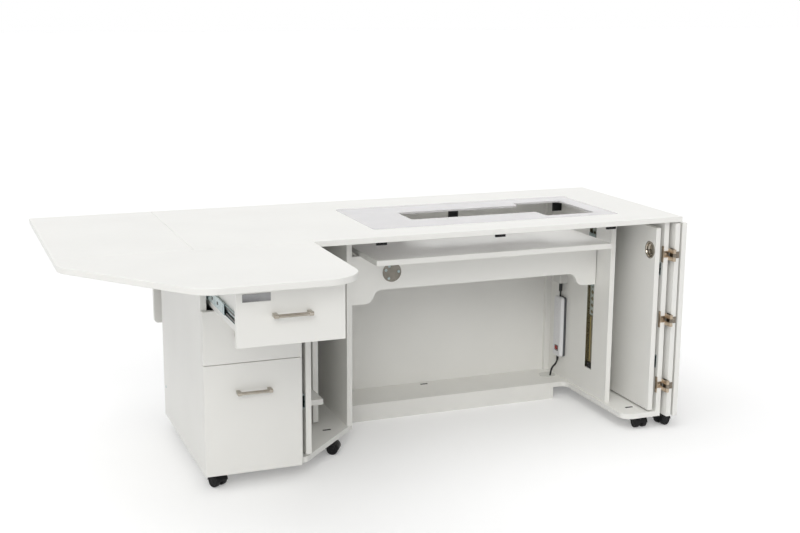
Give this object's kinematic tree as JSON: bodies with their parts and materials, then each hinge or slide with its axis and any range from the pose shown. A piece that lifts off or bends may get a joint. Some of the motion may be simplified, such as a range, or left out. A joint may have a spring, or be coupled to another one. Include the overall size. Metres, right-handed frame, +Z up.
{
  "type": "sewing cabinet",
  "caption": "Sewing cabinet with folding top leaves, a lift platform under an inset opening, drawers, pull-out boards and a bifold door on casters.",
  "frame": {"origin": "centre of the overall box, on the floor", "axes": "+X to the right seen from the seat, +Y to the back, +Z up"},
  "size_m": [2.0895, 1.205, 0.75],
  "materials": {
    "white_board": "white melamine-faced board, satin",
    "satin_nickel": "satin nickel",
    "zinc_steel": "bright zinc plate",
    "brass": "satin brass",
    "clear_acrylic": "clear polished",
    "black_plastic": "moulded, satin",
    "grey_plastic": "moulded, matte",
    "strip_plastic": "moulded, semi-gloss",
    "black_rubber": "extruded sheath",
    "pale_plastic": "moulded, matte",
    "red_plastic": "moulded, glossy",
    "grey_metal": "satin paint"
  },
  "bodies": {
    "cabinet": {"main_top": "white_board", "left_side_panel": "white_board", "drawer_divider": "white_board", "right_side_panel": "white_board", "lift_walls": "white_board", "back_panel": "white_board", "base_board": "white_board", "plinth_and_battens": "white_board", "insert_clips": "black_plastic", "lift_drive": "grey_plastic", "power_strip": "strip_plastic", "power_lead": "black_rubber", "cable_grommet": "pale_plastic", "fixed_hinge_leaves": "brass", "slide_outer_members": "zinc_steel"},
    "left_leaf": {"left_leaf": "white_board", "left_leaf_hinges": "brass"},
    "front_leaf": {"front_leaf": "white_board", "front_leaf_hinges": "brass"},
    "back_leaf": {"back_leaf": "white_board", "back_leaf_hinges": "brass"},
    "insert": {"acrylic_insert": "clear_acrylic"},
    "rocker": {"strip_rocker": "red_plastic"},
    "lift": {"lift_platform": "white_board", "lift_carriage": "white_board", "lift_cover_disc": "grey_metal", "lift_slide_inner": "zinc_steel"},
    "lift_cages": {"lift_slide_cages": "zinc_steel"},
    "right_pullout": {"right_pullout_board": "white_board", "right_pullout_cup_pull": "satin_nickel", "right_pullout_slides": "zinc_steel"},
    "left_pullout": {"left_pullout": "white_board", "left_pullout_slides": "zinc_steel"},
    "door_inner": {"door_inner_panel": "white_board", "door_inner_hinges": "brass"},
    "door_outer": {"door_outer_panel": "white_board", "door_outer_hinges": "brass"},
    "top_drawer": {"top_drawer_front": "white_board", "top_drawer_box": "white_board", "top_drawer_handle": "satin_nickel", "top_drawer_slide_inner": "zinc_steel"},
    "top_drawer_rails": {"top_drawer_slide_middle": "zinc_steel"},
    "middle_drawer": {"middle_drawer_front": "white_board", "middle_drawer_box": "white_board", "middle_drawer_handle": "satin_nickel", "middle_drawer_slide_inner": "zinc_steel"},
    "middle_drawer_rails": {"middle_drawer_slide_middle": "zinc_steel"},
    "bottom_drawer": {"bottom_drawer_front": "white_board", "bottom_drawer_box": "white_board", "bottom_drawer_handle": "satin_nickel", "bottom_drawer_slide_inner": "zinc_steel"},
    "bottom_drawer_rails": {"bottom_drawer_slide_middle": "zinc_steel"},
    "pedestal_caster_fork": {"pedestal_caster_fork": "black_plastic"},
    "pedestal_caster_wheels": {"pedestal_caster_wheels": "black_plastic"},
    "left_bay_caster_fork": {"left_bay_caster_fork": "black_plastic"},
    "left_bay_caster_wheels": {"left_bay_caster_wheels": "black_plastic"},
    "right_bay_caster_fork": {"right_bay_caster_fork": "black_plastic"},
    "right_bay_caster_wheels": {"right_bay_caster_wheels": "black_plastic"},
    "door_caster_fork": {"door_caster_fork": "black_plastic"},
    "door_caster_wheels": {"door_caster_wheels": "black_plastic"}
  },
  "joints": [
    {"name": "left_leaf_flip", "type": "hinge", "parent": "cabinet", "child": "left_leaf", "pos_m": [-0.6475, 0.23965, 0.7505], "axis": [0, -1, 0], "range_deg": [-180, 0]},
    {"name": "front_leaf_flip", "type": "hinge", "parent": "cabinet", "child": "front_leaf", "pos_m": [-0.4672, -0.10215, 0.7505], "axis": [-1, 0, 0], "range_deg": [0, 180]},
    {"name": "back_leaf_raise", "type": "hinge", "parent": "cabinet", "child": "back_leaf", "pos_m": [0, 0.58145, 0.729], "axis": [1, 0, 0], "range_deg": [0, 90]},
    {"name": "insert_lift", "type": "slide", "parent": "cabinet", "child": "insert", "axis": [0, 0, 1], "range_m": [0, 0.06]},
    {"name": "rocker_tip", "type": "hinge", "parent": "cabinet", "child": "rocker", "pos_m": [0.8233, 0.39765, 0.178], "axis": [0, 1, 0], "range_deg": [-16, 0]},
    {"name": "top_drawer_pull", "type": "slide", "parent": "cabinet", "child": "top_drawer", "axis": [0, -1, 0], "range_m": [-0.42, 0.03]},
    {"name": "top_rails_follow", "type": "slide", "parent": "cabinet", "child": "top_drawer_rails", "axis": [0, -1, 0], "range_m": [-0.21, 0.015]},
    {"name": "middle_drawer_pull", "type": "slide", "parent": "cabinet", "child": "middle_drawer", "axis": [0, -1, 0], "range_m": [0, 0.45]},
    {"name": "middle_rails_follow", "type": "slide", "parent": "cabinet", "child": "middle_drawer_rails", "axis": [0, -1, 0], "range_m": [0, 0.225]},
    {"name": "bottom_drawer_pull", "type": "slide", "parent": "cabinet", "child": "bottom_drawer", "axis": [0, -1, 0], "range_m": [0, 0.45]},
    {"name": "bottom_rails_follow", "type": "slide", "parent": "cabinet", "child": "bottom_drawer_rails", "axis": [0, -1, 0], "range_m": [0, 0.225]},
    {"name": "lift_travel", "type": "slide", "parent": "cabinet", "child": "lift", "axis": [0, 0, 1], "range_m": [-0.3, 0.03]},
    {"name": "cages_follow", "type": "slide", "parent": "cabinet", "child": "lift_cages", "axis": [0, 0, 1], "range_m": [-0.15, 0.015]},
    {"name": "right_pullout_pull", "type": "slide", "parent": "cabinet", "child": "right_pullout", "axis": [0, -1, 0], "range_m": [0, 0.33]},
    {"name": "left_pullout_pull", "type": "slide", "parent": "cabinet", "child": "left_pullout", "axis": [0, -1, 0], "range_m": [0, 0.33]},
    {"name": "door_swing", "type": "hinge", "parent": "cabinet", "child": "door_inner", "pos_m": [0.9828, -0.10685, 0.4], "axis": [0, 0, 1], "range_deg": [-270, 0]},
    {"name": "door_fold", "type": "hinge", "parent": "door_inner", "child": "door_outer", "pos_m": [1.0108, 0.54915, 0.4], "axis": [0, 0, 1], "range_deg": [0, 180]},
    {"name": "pedestal_caster_swivel", "type": "hinge", "parent": "cabinet", "child": "pedestal_caster_fork", "pos_m": [-0.5932, -0.04785, 0.044], "axis": [0, 0, 1], "continuous": true},
    {"name": "pedestal_caster_roll", "type": "hinge", "parent": "pedestal_caster_fork", "child": "pedestal_caster_wheels", "pos_m": [-0.5857, -0.06084, 0.019], "axis": [0.866, 0.5, 0], "continuous": true},
    {"name": "left_bay_caster_swivel", "type": "hinge", "parent": "cabinet", "child": "left_bay_caster_fork", "pos_m": [-0.1792, 0.09015, 0.044], "axis": [0, 0, 1], "continuous": true},
    {"name": "left_bay_caster_roll", "type": "hinge", "parent": "left_bay_caster_fork", "child": "left_bay_caster_wheels", "pos_m": [-0.16621, 0.08265, 0.019], "axis": [0.5, 0.866, 0], "continuous": true},
    {"name": "right_bay_caster_swivel", "type": "hinge", "parent": "cabinet", "child": "right_bay_caster_fork", "pos_m": [0.9148, -0.02785, 0.044], "axis": [0, 0, 1], "continuous": true},
    {"name": "right_bay_caster_roll", "type": "hinge", "parent": "right_bay_caster_fork", "child": "right_bay_caster_wheels", "pos_m": [0.9148, -0.04285, 0.019], "axis": [1, 0, 0], "continuous": true},
    {"name": "door_caster_swivel", "type": "hinge", "parent": "door_outer", "child": "door_caster_fork", "pos_m": [1.0238, -0.03685, 0.046], "axis": [0, 0, 1], "continuous": true},
    {"name": "door_caster_roll", "type": "hinge", "parent": "door_caster_fork", "child": "door_caster_wheels", "pos_m": [1.00931, -0.04073, 0.019], "axis": [0.2588, -0.9659, 0], "continuous": true}
  ],
  "couplings": [
    {"joint": "top_rails_follow", "follows": "top_drawer_pull", "ratio": 0.5},
    {"joint": "middle_rails_follow", "follows": "middle_drawer_pull", "ratio": 0.5},
    {"joint": "bottom_rails_follow", "follows": "bottom_drawer_pull", "ratio": 0.5},
    {"joint": "cages_follow", "follows": "lift_travel", "ratio": 0.5},
    {"joint": "door_fold", "follows": "door_swing", "ratio": -0.66667}
  ]
}
